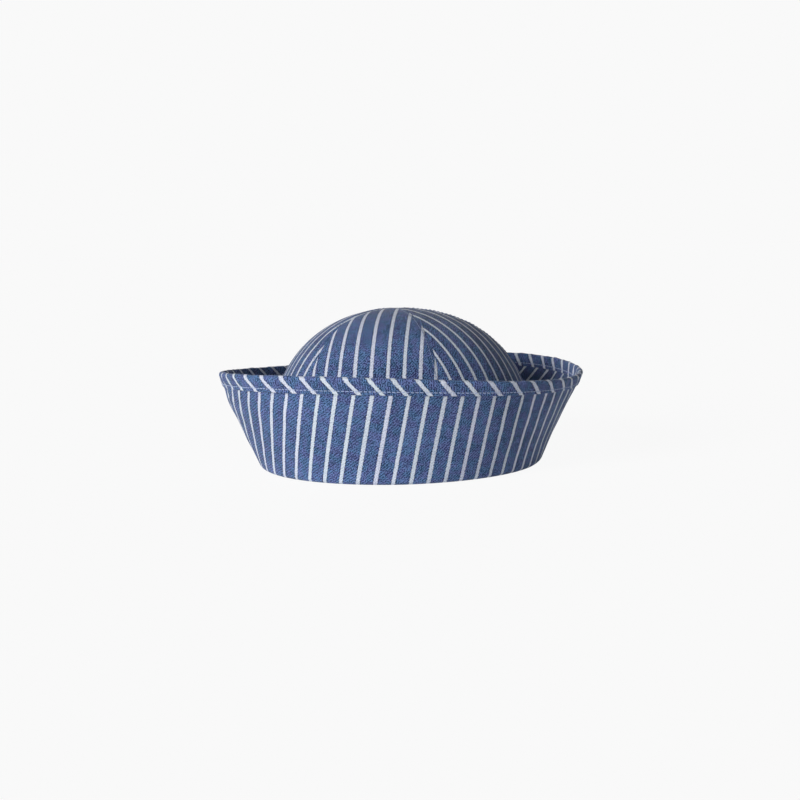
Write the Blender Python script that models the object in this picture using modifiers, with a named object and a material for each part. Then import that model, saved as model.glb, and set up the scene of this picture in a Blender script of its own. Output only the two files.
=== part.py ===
"""A sailor cap: a five-gore domed crown, a flared turned-up brim and a binding over the brim's edge.

Metres, +Z up. The front of the cap faces -Y and the wearer's left is at +X. The cap rests on its
fold at z = 0, with the crown's axis on the Z axis. An azimuth is measured from the front towards +X.
"""

import math
from collections import namedtuple

import bpy
from mathutils import Vector

# The head opening, inside the brim's turned-in edge
HEAD_WIDTH = 0.1776
HEAD_LENGTH = 0.1847

# The crown: gores of one layer of cloth, sewn edge to edge. Its tip leans sideways, towards -X here
CROWN_TALL = 0.1075
CROWN_SIDE_TALL = 0.0200
CROWN_FULLNESS = 2.15
CROWN_LEAN = -0.0027
CROWN_CLOTH = 0.0012
TIP_RADIUS = 0.0009

# Each seam draws its gores inwards, and the draw fades away from it by this power
SEAM_DRAW = 0.0007
SEAM_DRAW_POWER = 4

# The brim: a band that is turned up round the fold and flares out to the rim
RIM_WIDTH = 0.2517
BRIM_TALL = 0.0660
BRIM_CLOTH = 0.0012
FOLD_SPREAD = 0.0096
FOLD_FLAT = 0.0030

# The seam: the crown's lower edge stands this far above the fold's curve, and laps the brim's hem
HEM_LIFT = 0.0014
HEM_LAP = 0.0080

# The binding: a strip that is folded over the brim's edge
BINDING_CLOTH = 0.0010
BINDING_DEPTH_OUTSIDE = 0.0105
BINDING_DEPTH_INSIDE = 0.0100

# Between pieces that are sewn together
CLEARANCE = 0.0003

# How finely the cloth is divided
STEPS_AROUND = 72
ARC_STEPS = 3
BINDING_LEG_STEPS = 2
BINDING_ARC_STEPS = 4
GORE_COLUMNS = 12
SIDE_ROWS = 2
DOME_ROWS = 9
SHARP_EDGE = math.radians(40)

# Each gore runs from its own seam to the next row's. A seam starts at its azimuth, where the crown is
# widest, and has turned further by its twist at the tip; both are in degrees
Gore = namedtuple("Gore", "name seam_azimuth seam_twist")
GORES = (
    Gore("crown_gore_front", -45.7, -22.0),
    Gore("crown_gore_right", 17.7, 5.0),
    Gore("crown_gore_rear_right", 92.0, 0.0),
    Gore("crown_gore_rear_left", 164.0, 0.0),
    Gore("crown_gore_left", 237.0, 0.0),
)

# The rim rises and falls around the cap. Each row is a wave with this many crests, and its
# height at the front (forward) and a quarter wave later (sideways) as shares of BRIM_TALL
RimWave = namedtuple("RimWave", "crests forward_share sideways_share")
RIM_WAVES = (
    RimWave(1, 0.038, -0.022),
    RimWave(2, 0.015, -0.050),
    RimWave(3, 0.010, 0.007),
)

# The brim's flared side, up from the floor. Each row is a height, and how far the side stands out
# from a plain cone there at the cap's right (-X) and left (+X), fading to 0 at the front and back.
# All are shares of BRIM_TALL. The binding lies between the last two rows
BrimSection = namedtuple("BrimSection", "height_share right_share left_share")
BRIM_SECTIONS = (
    BrimSection(0.00, -0.008, -0.059),
    BrimSection(0.25, 0.005, -0.048),
    BrimSection(0.50, 0.015, -0.027),
    BrimSection(0.70, 0.027, -0.009),
    BrimSection(0.82, 0.018, 0.002),
    BrimSection(1.00, 0.000, 0.000),
)

CLOTH_BLUE = (0.085, 0.130, 0.300, 1.0)
BINDING_BLUE = (0.075, 0.120, 0.285, 1.0)

OVAL = HEAD_LENGTH / HEAD_WIDTH
LEG_RADIUS = HEAD_WIDTH / 2 + BRIM_CLOTH / 2
CROWN_RADIUS = HEAD_WIDTH / 2 + BRIM_CLOTH + CLEARANCE + CROWN_CLOTH
BINDING_OFFSET = BRIM_CLOTH / 2 + CLEARANCE + BINDING_CLOTH / 2
BINDING_REACH = BINDING_OFFSET + BINDING_CLOTH / 2


def clear_scene():
    for obj in list(bpy.data.objects):
        bpy.data.objects.remove(obj)


def cloth_material(name, colour):
    material = bpy.data.materials.new(name + "_cloth")
    material.use_nodes = True
    shader = material.node_tree.nodes["Principled BSDF"]
    shader.inputs["Base Color"].default_value = colour
    shader.inputs["Roughness"].default_value = 0.85
    shader.inputs["Metallic"].default_value = 0.0
    return material


def arc(centre, radius, start, end, steps):
    """Points along an arc in the profile plane, both ends included; angles in radians from +X."""
    turns = [start + (end - start) * i / steps for i in range(steps + 1)]
    return [centre + Vector((math.cos(a), math.sin(a))) * radius for a in turns]


def straight(start, end, steps):
    """Points from start towards end, without the end itself."""
    return [start.lerp(end, i / steps) for i in range(steps)]


def flare_line():
    """The middle of the flared side's cloth: its foot at floor level and its end under the binding."""
    foot = Vector((LEG_RADIUS + FOLD_SPREAD, 0.0))
    end = Vector((RIM_WIDTH / 2 - BINDING_REACH, BRIM_TALL - BINDING_REACH))
    return foot, end


def flare_slope():
    """How far the flared side leans out for each unit that it rises."""
    foot, end = flare_line()
    return (end.x - foot.x) / (end.y - foot.y)


def fold_radius():
    """The radius that joins the upright hem, the flat of the fold and the flared side."""
    slope = flare_slope()
    spread = FOLD_SPREAD - FOLD_FLAT + slope * BRIM_CLOTH / 2
    return spread / (math.hypot(1, slope) + 1 - slope)


def fold_top():
    """The height at which the fold's inner curve becomes the upright hem."""
    return BRIM_CLOTH / 2 + fold_radius()


def brim_profile():
    """The middle of the brim's cloth, from its hem inside the cap, round the fold, up to the rim."""
    foot, end = flare_line()
    slope = flare_slope()
    radius = fold_radius()
    inner_centre = Vector((LEG_RADIUS + radius, fold_top()))
    outer_centre = inner_centre + Vector((FOLD_FLAT, 0.0))
    hem = Vector((LEG_RADIUS, fold_top() + HEM_LIFT + HEM_LAP))
    down = arc(inner_centre, radius, math.pi, 1.5 * math.pi, ARC_STEPS)
    up = arc(outer_centre, radius, -0.5 * math.pi, -math.atan(slope), ARC_STEPS)
    flare = [foot.lerp(end, row.height_share * BRIM_TALL / end.y) for row in BRIM_SECTIONS[1:-1]]
    return [hem] + down + up + flare + [end]


def binding_profile():
    """The middle of the binding's cloth, from its outer edge over the rim to its inner edge."""
    foot, end = flare_line()
    upward = (end - foot).normalized()
    outward = Vector((upward.y, -upward.x))
    lean = math.atan2(outward.y, outward.x)
    over = arc(end, BINDING_OFFSET, lean, lean + math.pi, BINDING_ARC_STEPS)
    outer_edge = over[0] - upward * (BINDING_DEPTH_OUTSIDE - BINDING_REACH)
    inner_edge = over[-1] - upward * (BINDING_DEPTH_INSIDE - BINDING_REACH)
    inner_leg = straight(inner_edge, over[-1], BINDING_LEG_STEPS)
    return straight(outer_edge, over[0], BINDING_LEG_STEPS) + over + inner_leg[::-1]


def rim_rise(azimuth):
    """How far the rim stands above BRIM_TALL at this azimuth, in radians."""
    shares = [
        wave.forward_share * math.cos(wave.crests * azimuth)
        + wave.sideways_share * math.sin(wave.crests * azimuth)
        for wave in RIM_WAVES
    ]
    return BRIM_TALL * sum(shares)


def side_bulge(azimuth, height):
    """How far the flared side stands out from a plain cone, at this azimuth and height."""
    share = min(max(height / BRIM_TALL, 0.0), 1.0)
    rows = zip(BRIM_SECTIONS, BRIM_SECTIONS[1:])
    low, high = next(pair for pair in rows if share <= pair[1].height_share)
    along = (share - low.height_share) / (high.height_share - low.height_share)
    if azimuth > 0:
        bulge_share = low.left_share + (high.left_share - low.left_share) * along
    else:
        bulge_share = low.right_share + (high.right_share - low.right_share) * along
    return BRIM_TALL * bulge_share * abs(math.sin(azimuth))


def settle_on_head_shape(mesh):
    """Draws a round band into the cap's oval, bulges its side, and lets its rim rise and fall."""
    for vertex in mesh.vertices:
        x, y, z = vertex.co
        azimuth = math.atan2(x, -y)
        radius = math.hypot(x, y)
        freedom = min((radius - LEG_RADIUS) / FOLD_SPREAD, 1.0)
        widening = 1 + side_bulge(azimuth, z) * freedom / radius
        rise = rim_rise(azimuth) * (z / BRIM_TALL) ** 2
        vertex.co = (x * widening, y * widening * OVAL, z + rise)


def turned_mesh(name, profile):
    """The surface that the profile sweeps round the Z axis, as a mesh."""
    outline = bpy.data.meshes.new(name + "_profile")
    edges = [(i, i + 1) for i in range(len(profile) - 1)]
    outline.from_pydata([(p.x, 0.0, p.y) for p in profile], edges, [])
    guide = bpy.data.objects.new(name + "_profile", outline)
    bpy.context.scene.collection.objects.link(guide)
    screw = guide.modifiers.new("Turn", "SCREW")
    screw.steps = STEPS_AROUND
    screw.render_steps = STEPS_AROUND
    screw.use_merge_vertices = True
    screw.merge_threshold = 0.00001
    graph = bpy.context.evaluated_depsgraph_get()
    mesh = bpy.data.meshes.new_from_object(guide.evaluated_get(graph))
    bpy.data.objects.remove(guide)
    return mesh


def crown_height(radius):
    """The height on the dome where the crown's outer half width is this radius."""
    share = 1 - (radius / CROWN_RADIUS) ** CROWN_FULLNESS
    return CROWN_SIDE_TALL + (CROWN_TALL - CROWN_SIDE_TALL) * share ** (1 / CROWN_FULLNESS)


def crown_section(dome_share):
    """Half width and height of the crown at a share of its dome (0 to 1), or of its side (-1 to 0)."""
    if dome_share < 0:
        hem_height = fold_top() + HEM_LIFT
        return CROWN_RADIUS, CROWN_SIDE_TALL + (CROWN_SIDE_TALL - hem_height) * dome_share
    turn = dome_share * math.pi / 2
    radius = max(TIP_RADIUS, CROWN_RADIUS * math.cos(turn) ** (2 / CROWN_FULLNESS))
    return radius, crown_height(radius)


def seam_azimuth(gore, narrowing):
    """Where a gore's own seam is, in radians, once the crown has narrowed by this share."""
    return math.radians(gore.seam_azimuth + gore.seam_twist * narrowing)


def gore_point(across, dome_share, gore, next_gore):
    """A point on a gore's outer face, from its own seam (across 0) to the next gore's (1)."""
    radius, height = crown_section(dome_share)
    narrowing = 1 - radius / CROWN_RADIUS
    inset = CLEARANCE / 2 / radius
    start = seam_azimuth(gore, narrowing) + inset
    end = seam_azimuth(next_gore, narrowing) - inset
    if end < start:
        end += 2 * math.pi
    azimuth = start + (end - start) * across
    nearness = abs(2 * across - 1) ** SEAM_DRAW_POWER * radius / CROWN_RADIUS
    radius -= SEAM_DRAW * nearness * math.sin(math.pi * max(0.0, dome_share))
    x = CROWN_LEAN * narrowing + radius * math.sin(azimuth)
    return Vector((x, -radius * math.cos(azimuth) * OVAL, height))


def add_cloth(name, mesh, colour, thickness, offset, collection):
    """A mesh surface as a sheet of cloth of this colour and thickness."""
    obj = bpy.data.objects.new(name, mesh)
    collection.objects.link(obj)
    mesh.materials.append(cloth_material(name, colour))
    mesh.shade_smooth()
    mesh.set_sharp_from_angle(angle=SHARP_EDGE)
    solidify = obj.modifiers.new("Cloth", "SOLIDIFY")
    solidify.thickness = thickness
    solidify.offset = offset
    solidify.use_even_offset = True
    return obj


def add_gore(gore, next_gore, collection):
    rows = SIDE_ROWS + DOME_ROWS
    bpy.ops.mesh.primitive_grid_add(x_subdivisions=GORE_COLUMNS, y_subdivisions=rows, size=1)
    grid = bpy.context.active_object
    mesh = grid.data
    bpy.data.objects.remove(grid)
    mesh.name = gore.name
    for vertex in mesh.vertices:
        across = vertex.co.x + 0.5
        row = round((vertex.co.y + 0.5) * rows) - SIDE_ROWS
        dome_share = row / (DOME_ROWS if row > 0 else SIDE_ROWS)
        vertex.co = gore_point(across, dome_share, gore, next_gore)
    return add_cloth(gore.name, mesh, CLOTH_BLUE, CROWN_CLOTH, -1.0, collection)


def add_crown(collection):
    for i, gore in enumerate(GORES):
        add_gore(gore, GORES[(i + 1) % len(GORES)], collection)


def add_band(name, profile, colour, thickness, collection):
    mesh = turned_mesh(name, profile)
    mesh.name = name
    settle_on_head_shape(mesh)
    return add_cloth(name, mesh, colour, thickness, 0.0, collection)


def main():
    clear_scene()
    cap = bpy.data.collections.new("sailor_cap")
    bpy.context.scene.collection.children.link(cap)
    add_crown(cap)
    add_band("brim", brim_profile(), CLOTH_BLUE, BRIM_CLOTH, cap)
    add_band("rim_binding", binding_profile(), BINDING_BLUE, BINDING_CLOTH, cap)


main()
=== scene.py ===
"""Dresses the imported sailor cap: striped denim over its crown gores, brim and rim binding, with stitching.

Metres, +Z up. The front of the cap faces -Y, and an azimuth is measured from the front towards +X.
Left is the wearer's left, at +X. Only the gores' names say left and right as seen from in front.
"""

import math
from collections import namedtuple

import bpy
import numpy as np
from mathutils import Matrix, Vector


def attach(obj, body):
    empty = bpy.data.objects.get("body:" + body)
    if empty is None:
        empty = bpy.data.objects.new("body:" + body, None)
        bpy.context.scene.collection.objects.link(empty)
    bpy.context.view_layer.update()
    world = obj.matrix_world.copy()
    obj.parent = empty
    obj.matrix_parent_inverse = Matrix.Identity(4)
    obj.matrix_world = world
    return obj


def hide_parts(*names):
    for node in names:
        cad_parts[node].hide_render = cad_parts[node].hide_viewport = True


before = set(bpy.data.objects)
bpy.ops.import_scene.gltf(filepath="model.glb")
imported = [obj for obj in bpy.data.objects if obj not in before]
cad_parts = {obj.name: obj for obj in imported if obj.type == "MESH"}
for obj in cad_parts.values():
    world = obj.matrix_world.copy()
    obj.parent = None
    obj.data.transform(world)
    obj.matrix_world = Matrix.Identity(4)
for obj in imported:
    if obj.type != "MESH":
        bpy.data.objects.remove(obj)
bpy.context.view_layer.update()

bl_info = {
    "name": "Sailor Cap",
    "version": (1, 0, 0),
    "blender": (4, 5, 0),
    "location": "View3D > Sidebar > Sailor Cap",
    "description": "Dresses a packed sailor cap in striped denim and its stitching",
    "category": "Object",
}

# The cap's own sizes, as its solids have them
HEAD_WIDTH = 0.1776
HEAD_LENGTH = 0.1847
CROWN_TALL = 0.1075
CROWN_SIDE_TALL = 0.0200
CROWN_FULLNESS = 2.15
CROWN_LEAN = -0.0027
CROWN_CLOTH = 0.0012
SEAM_DRAW = 0.0007
SEAM_DRAW_POWER = 4
RIM_WIDTH = 0.2517
BRIM_TALL = 0.0660
BRIM_CLOTH = 0.0012
FOLD_SPREAD = 0.0096
FOLD_FLAT = 0.0030
HEM_LIFT = 0.0014
HEM_LAP = 0.0080
BINDING_CLOTH = 0.0010
BINDING_DEPTH_OUTSIDE = 0.0098
BINDING_DEPTH_INSIDE = 0.0100
CLEARANCE = 0.0003

# What a piece of cloth was cut to before it was sewn: its width and length laid flat, and its area
Cut = namedtuple("Cut", "width length area")

# How the rim rises and falls round the cap: waves of this many crests, in shares of the brim's height,
# each in one part that crests at the front and one that crests a quarter of a wave towards +X
RimWave = namedtuple("RimWave", "crests forward_share sideways_share")
RIM_WAVES = (
    RimWave(1, 0.038, -0.022),
    RimWave(2, 0.015, -0.050),
    RimWave(3, 0.010, 0.007),
)

# How far the brim's two sides stand out at each height, all in shares of the brim's height
BrimSection = namedtuple("BrimSection", "height_share right_share left_share")
BRIM_SECTIONS = (
    BrimSection(0.00, -0.008, -0.059),
    BrimSection(0.25, 0.005, -0.048),
    BrimSection(0.50, 0.015, -0.027),
    BrimSection(0.70, 0.027, -0.009),
    BrimSection(0.82, 0.018, 0.002),
    BrimSection(1.00, 0.000, 0.000),
)

# Each gore runs from its own seam to the next row's. A seam starts at its azimuth and has turned by its
# twist at the tip. The grain is the azimuth where the gore's stripes run straight up the crown; nudge
# moves them sideways, take_up is how closely they stand, and crowding how that grows across the gore
Gore = namedtuple("Gore", "node seam_azimuth seam_twist grain_azimuth nudge take_up crowding")
GORES = (
    Gore("crown_gore_front", -45.7, -22.0, -7.95, 0.0026, 1.034, 0.86),
    Gore("crown_gore_right", 17.7, 5.0, 45.75, 0.0060, 1.129, -1.16),
    Gore("crown_gore_rear_right", 92.0, 0.0, 128.0, 0.0010, 1.06, 0.0),
    Gore("crown_gore_rear_left", 164.0, 0.0, 200.0, -0.0020, 1.06, 0.0),
    Gore("crown_gore_left", 237.0, 0.0, 300.5, -0.0008, 1.16, 0.8),
)

OVAL = HEAD_LENGTH / HEAD_WIDTH
LEG_RADIUS = HEAD_WIDTH / 2 + BRIM_CLOTH / 2
CROWN_RADIUS = HEAD_WIDTH / 2 + BRIM_CLOTH + CLEARANCE + CROWN_CLOTH
BINDING_OFFSET = BRIM_CLOTH / 2 + CLEARANCE + BINDING_CLOTH / 2
BINDING_REACH = BINDING_OFFSET + BINDING_CLOTH / 2

# How the brim's pattern lies on the cloth: one strip, cut as part of a cone's unrolled side
BRIM_CONE_SINE = 0.363
BRIM_GRAIN_LEAN = math.radians(11.1)
BRIM_STRIPE_NUDGE = 0.0035
BINDING_GRAIN_LEAN = math.radians(41.3)
BINDING_STRIPE_NUDGE = -0.0042

# The tape was pulled longer along the cap's two sides: by how much, and from where to where it grew
TapePull = namedtuple("TapePull", "side length start end")
TAPE_PULLS = (TapePull(1, 0.0092, 0.020, 0.135), TapePull(-1, 0.0102, 0.060, 0.142))

# How much coarser the crown's specks of yarn are than the brim's
CROWN_COARSENESS = 1.3

# How much brighter than the backdrop the floor's own light is, for the two to look the same
FLOOR_MATCH = 1.022

# Where the two bands are joined, at the back of the cap, and about how far from its axis
BRIM_JOIN = math.radians(-148.0)
BINDING_JOIN = math.radians(-156.0)
BRIM_JOIN_RADIUS = 0.11
BINDING_JOIN_RADIUS = 0.124

# The gap between a band's two ends, and how far in the cloth is rounded at its ends and edges
JOIN_GAP = 0.00016
JOIN_ROUNDING = 0.0004
BRIM_EDGE_ROUNDING = 0.00045
TAPE_EDGE_ROUNDING = 0.0006
GORE_EDGE_ROUNDING = 0.00016

# Soft relief in the cloth: its height either way, about how many crests go round the cap, and the
# length of one up the cloth
Swell = namedtuple("Swell", "height crests length")
BRIM_SWELL = Swell(0.00045, 9, 0.09)
BRIM_RIPPLE = Swell(0.00016, 34, 0.03)
BRIM_PUCKERS = Swell(0.00016, 88, 0.1)
TAPE_GATHERS = Swell(0.00015, 62, 0.1)
TAPE_FINE_GATHERS = Swell(0.000105, 118, 0.1)
TAPE_SLACK = Swell(0.00012, 26, 0.02)
CROWN_SWELL = Swell(0.00040, 7, 0.11)
CROWN_RIPPLE = Swell(0.00012, 22, 0.035)

# The puckers beside the crown's seams: they are counted along a seam, where this distance stands for a
# radian, and they fade this far from it
SEAM_PUCKERS = Swell(0.00022, 6, 1.0)
SEAM_PUCKER_RADIAN = 0.0155
SEAM_PUCKER_REACH = 0.005

# Marks along a line of sewing or a fold: how deep the dent is or how rubbed the cloth, and the width
Mark = namedtuple("Mark", "strength width")
BRIM_JOIN_DENT = Mark(0.0007, 0.0009)
BRIM_JOIN_WEAR = Mark(0.5, 0.0016)
BRIM_FOLD_WEAR = Mark(0.7, 0.0022)
BINDING_JOIN_DENT = Mark(0.0006, 0.0008)
BINDING_ROW_DENT = Mark(0.00042, 0.0007)
BINDING_FOLD_DENT = Mark(0.00004, 0.0007)
BINDING_TOP_WEAR = Mark(0.8, 0.0018)
BINDING_EDGE_WEAR = Mark(0.5, 0.0009)
GORE_SEAM_DENT = Mark(0.00008, 0.0006)
GORE_ROW_DENT = Mark(0.00022, 0.0005)
GORE_SEAM_WEAR = Mark(0.55, 0.0007)

# How much of a row's dent is gone halfway between two needle holes
NEEDLE_SHARE = 0.28

# A welt stands over a pressed seam allowance: its height, and how far from the seam it starts, is full,
# begins to fall and ends
Welt = namedtuple("Welt", "height start full fall end")
BRIM_WELT = Welt(0.00035, 0.0004, 0.0014, 0.0065, 0.0085)
GORE_WELT = Welt(0.00026, 0.0002, 0.0030, 0.0062, 0.0085)

# How thick the allowance is inside the crown, and the room between two gores at a seam, to each side
GORE_ALLOWANCE = 0.0008
SEAM_ROOM = 0.00001

# How far the tape is pressed in all over, and the room between it and the brim
TAPE_PRESSED = 0.00012
TAPE_ROOM = 0.00003

# How finely the meshes are divided: distances between rows, and numbers of steps round the cap
BRIM_STEP = 0.00115
CROWN_STEP = 0.0014
BRIM_STEPS_AROUND = 500
BINDING_STEPS_AROUND = 960

# The camera: its lens in millimetres, where it stands, the roll, and how far it is moved off its line
CAMERA_LENS = 64.35
CAMERA_DISTANCE = 1.0
CAMERA_ELEVATION = math.radians(6.15)
CAMERA_ROLL = math.radians(1.5)
CAMERA_AIM_HEIGHT = 0.045
CAMERA_SIDEWAYS = 0.00119
CAMERA_DOWN = 0.00187


class SAILORCAP_PG_cloth(bpy.types.PropertyGroup):
    """The striped denim and the thread."""

    stripe_pitch: bpy.props.FloatProperty(
        name="Stripe Pitch", description="From one pale stripe to the next, across the cloth",
        default=0.01112, min=0.002, subtype="DISTANCE", unit="LENGTH")
    stripe_width: bpy.props.FloatProperty(
        name="Stripe Width", description="How wide a pale stripe is woven",
        default=0.00242, min=0.0002, subtype="DISTANCE", unit="LENGTH")
    twill_pitch: bpy.props.FloatProperty(
        name="Twill Pitch", description="From one slanting twill rib to the next",
        default=0.00155, min=0.0002, subtype="DISTANCE", unit="LENGTH")
    blue: bpy.props.FloatVectorProperty(
        name="Blue", description="The dyed warp and the weft that shows between it",
        size=3, subtype="COLOR", default=(0.0585, 0.0945, 0.230), min=0.0, max=1.0)
    pale: bpy.props.FloatVectorProperty(
        name="Pale", description="The undyed stripes", size=3, subtype="COLOR",
        default=(0.66, 0.70, 0.785), min=0.0, max=1.0)
    thread: bpy.props.FloatVectorProperty(
        name="Thread", description="The binding's sewing thread", size=3, subtype="COLOR",
        default=(0.40, 0.48, 0.70), min=0.0, max=1.0)
    seam_thread: bpy.props.FloatVectorProperty(
        name="Seam Thread", description="The crown's sewing thread", size=3, subtype="COLOR",
        default=(0.20, 0.26, 0.44), min=0.0, max=1.0)


class SAILORCAP_PG_sewing(bpy.types.PropertyGroup):
    """Stitches and what they do to the cloth."""

    stitch_pitch: bpy.props.FloatProperty(
        name="Stitch Pitch", description="From one stitch to the next along a row",
        default=0.0029, min=0.001, subtype="DISTANCE", unit="LENGTH")
    stitch_length: bpy.props.FloatProperty(
        name="Stitch Length", description="How much of a stitch shows",
        default=0.0023, min=0.0005, subtype="DISTANCE", unit="LENGTH")
    thread_width: bpy.props.FloatProperty(
        name="Thread Width", description="The thread's thickness",
        default=0.00055, min=0.0001, subtype="DISTANCE", unit="LENGTH")
    binding_inset: bpy.props.FloatProperty(
        name="Binding Inset", description="From the binding's edge to its row of stitches",
        default=0.0023, min=0.0005, subtype="DISTANCE", unit="LENGTH")
    gore_inset: bpy.props.FloatProperty(
        name="Gore Inset", description="From a crown seam to its row of stitches",
        default=0.0026, min=0.0005, subtype="DISTANCE", unit="LENGTH")


class SAILORCAP_PG_stage(bpy.types.PropertyGroup):
    """The floor and the light."""

    paper: bpy.props.FloatProperty(
        name="Paper", description="How bright the floor and backdrop look",
        default=0.947, min=0.0, max=1.5)
    key_light: bpy.props.FloatProperty(
        name="Key Light", description="Soft light from the front, on the cap's right",
        default=3.1, min=0.0, max=20.0)
    fill_light: bpy.props.FloatProperty(
        name="Fill Light", description="Soft light from the front, on the cap's left",
        default=0.45, min=0.0, max=20.0)
    room_light: bpy.props.FloatProperty(
        name="Room Light", description="Weak light from low down all round",
        default=0.20, min=0.0, max=5.0)
    backdrop_light: bpy.props.FloatProperty(
        name="Backdrop Light", description="Light from the bright backdrop behind the cap",
        default=1.3, min=0.0, max=5.0)
    floor_glow: bpy.props.FloatProperty(
        name="Floor Glow", description="Light that the floor throws up at the cap",
        default=0.15, min=0.0, max=5.0)


def cloth_sizes():
    return bpy.context.scene.sailor_cap_cloth


def sewing_sizes():
    return bpy.context.scene.sailor_cap_sewing


# Shaders


class Value:
    """A node's output, on which Python's operators add Math nodes."""

    def __init__(self, finish, socket):
        self.finish = finish
        self.socket = socket

    def maths(self, operation, *terms):
        return self.finish.add("ShaderNodeMath", {"operation": operation}, dict(enumerate(terms)))

    def __add__(self, other):
        return self.maths("ADD", self, other)

    __radd__ = __add__

    def __sub__(self, other):
        return self.maths("SUBTRACT", self, other)

    def __rsub__(self, other):
        return self.maths("SUBTRACT", other, self)

    def __mul__(self, other):
        return self.maths("MULTIPLY", self, other)

    __rmul__ = __mul__

    def __truediv__(self, other):
        return self.maths("DIVIDE", self, other)

    def __abs__(self):
        return self.maths("ABSOLUTE", self)


class Finish:
    """A material, or the world, in the making."""

    def __init__(self, owner):
        self.owner = owner
        owner.use_nodes = True
        self.tree = owner.node_tree
        self.tree.nodes.clear()

    def add(self, kind, settings=None, inputs=None, output=0):
        """A node of this kind, and the output that is asked for. Its settings are set first, and then
        its sockets get their numbers, colours or links."""
        node = self.tree.nodes.new(kind)
        for key, value in (settings or {}).items():
            setattr(node, key, value)
        for key, value in (inputs or {}).items():
            if isinstance(value, Value):
                self.tree.links.new(value.socket, node.inputs[key])
            else:
                node.inputs[key].default_value = value
        return Value(self, node.outputs[output])

    def attribute(self, name):
        """A mesh's own attribute, as a vector."""
        return self.add("ShaderNodeAttribute", {"attribute_name": name}, output="Vector")

    def parts(self, vector):
        """The three numbers of a vector."""
        node = self.add("ShaderNodeSeparateXYZ", inputs={0: vector}).socket.node
        return [Value(self, socket) for socket in node.outputs]

    def place(self, x, y, z):
        return self.add("ShaderNodeCombineXYZ", inputs={0: x, 1: y, 2: z})

    def noise(self, x, y, detail=1.0, seed=0.0):
        """Smooth noise from 0 to 1, whose lumps are about one unit of x and y wide."""
        return self.add(
            "ShaderNodeTexNoise", {"noise_dimensions": "3D"},
            {"Vector": self.place(x, y, seed), "Scale": 1.0, "Detail": detail})

    def chance(self, number):
        """A number from 0 to 1 that is the same wherever the given number is."""
        return self.add("ShaderNodeTexWhiteNoise", {"noise_dimensions": "1D"}, {"W": number})

    def step(self, value, low, high):
        """0 below low, 1 above high, and smooth between them; low may be the higher one."""
        return self.add(
            "ShaderNodeMapRange", {"interpolation_type": "SMOOTHSTEP"},
            {"Value": value, "From Min": low, "From Max": high, "To Min": 0.0, "To Max": 1.0})

    def blend(self, share, first, second):
        """From the first colour to the second by a share."""
        return self.add(
            "ShaderNodeMix", {"data_type": "RGBA", "clamp_factor": True},
            {0: share, 6: first, 7: second}, output=2)

    def surface(self, colour, roughness, height, height_scale, **fixed):
        """The shader itself, with a bump from a height in shares of height_scale."""
        bump = self.add(
            "ShaderNodeBump", inputs={"Strength": 1.0, "Distance": height_scale, "Height": height})
        shader = self.add(
            "ShaderNodeBsdfPrincipled",
            inputs={"Base Color": colour, "Roughness": roughness, "Normal": bump, **fixed})
        return self.ended(shader)

    def ended(self, shader, output="ShaderNodeOutputMaterial"):
        """The finished material or world, with this shader."""
        self.tree.links.new(shader.socket, self.tree.nodes.new(output).inputs["Surface"])
        return self.owner


WHITE = (1.0, 1.0, 1.0, 1.0)
MILLIMETRES = 1000.0

# How steeply the twill's ribs rise across the cloth
TWILL_RISE = math.radians(52)


def opaque(colour, shade=1.0):
    return (*(min(channel * shade, 1.0) for channel in colour), 1.0)


def tinted(colour, red, green, blue):
    return opaque((colour[0] * red, colour[1] * green, colour[2] * blue))


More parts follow.
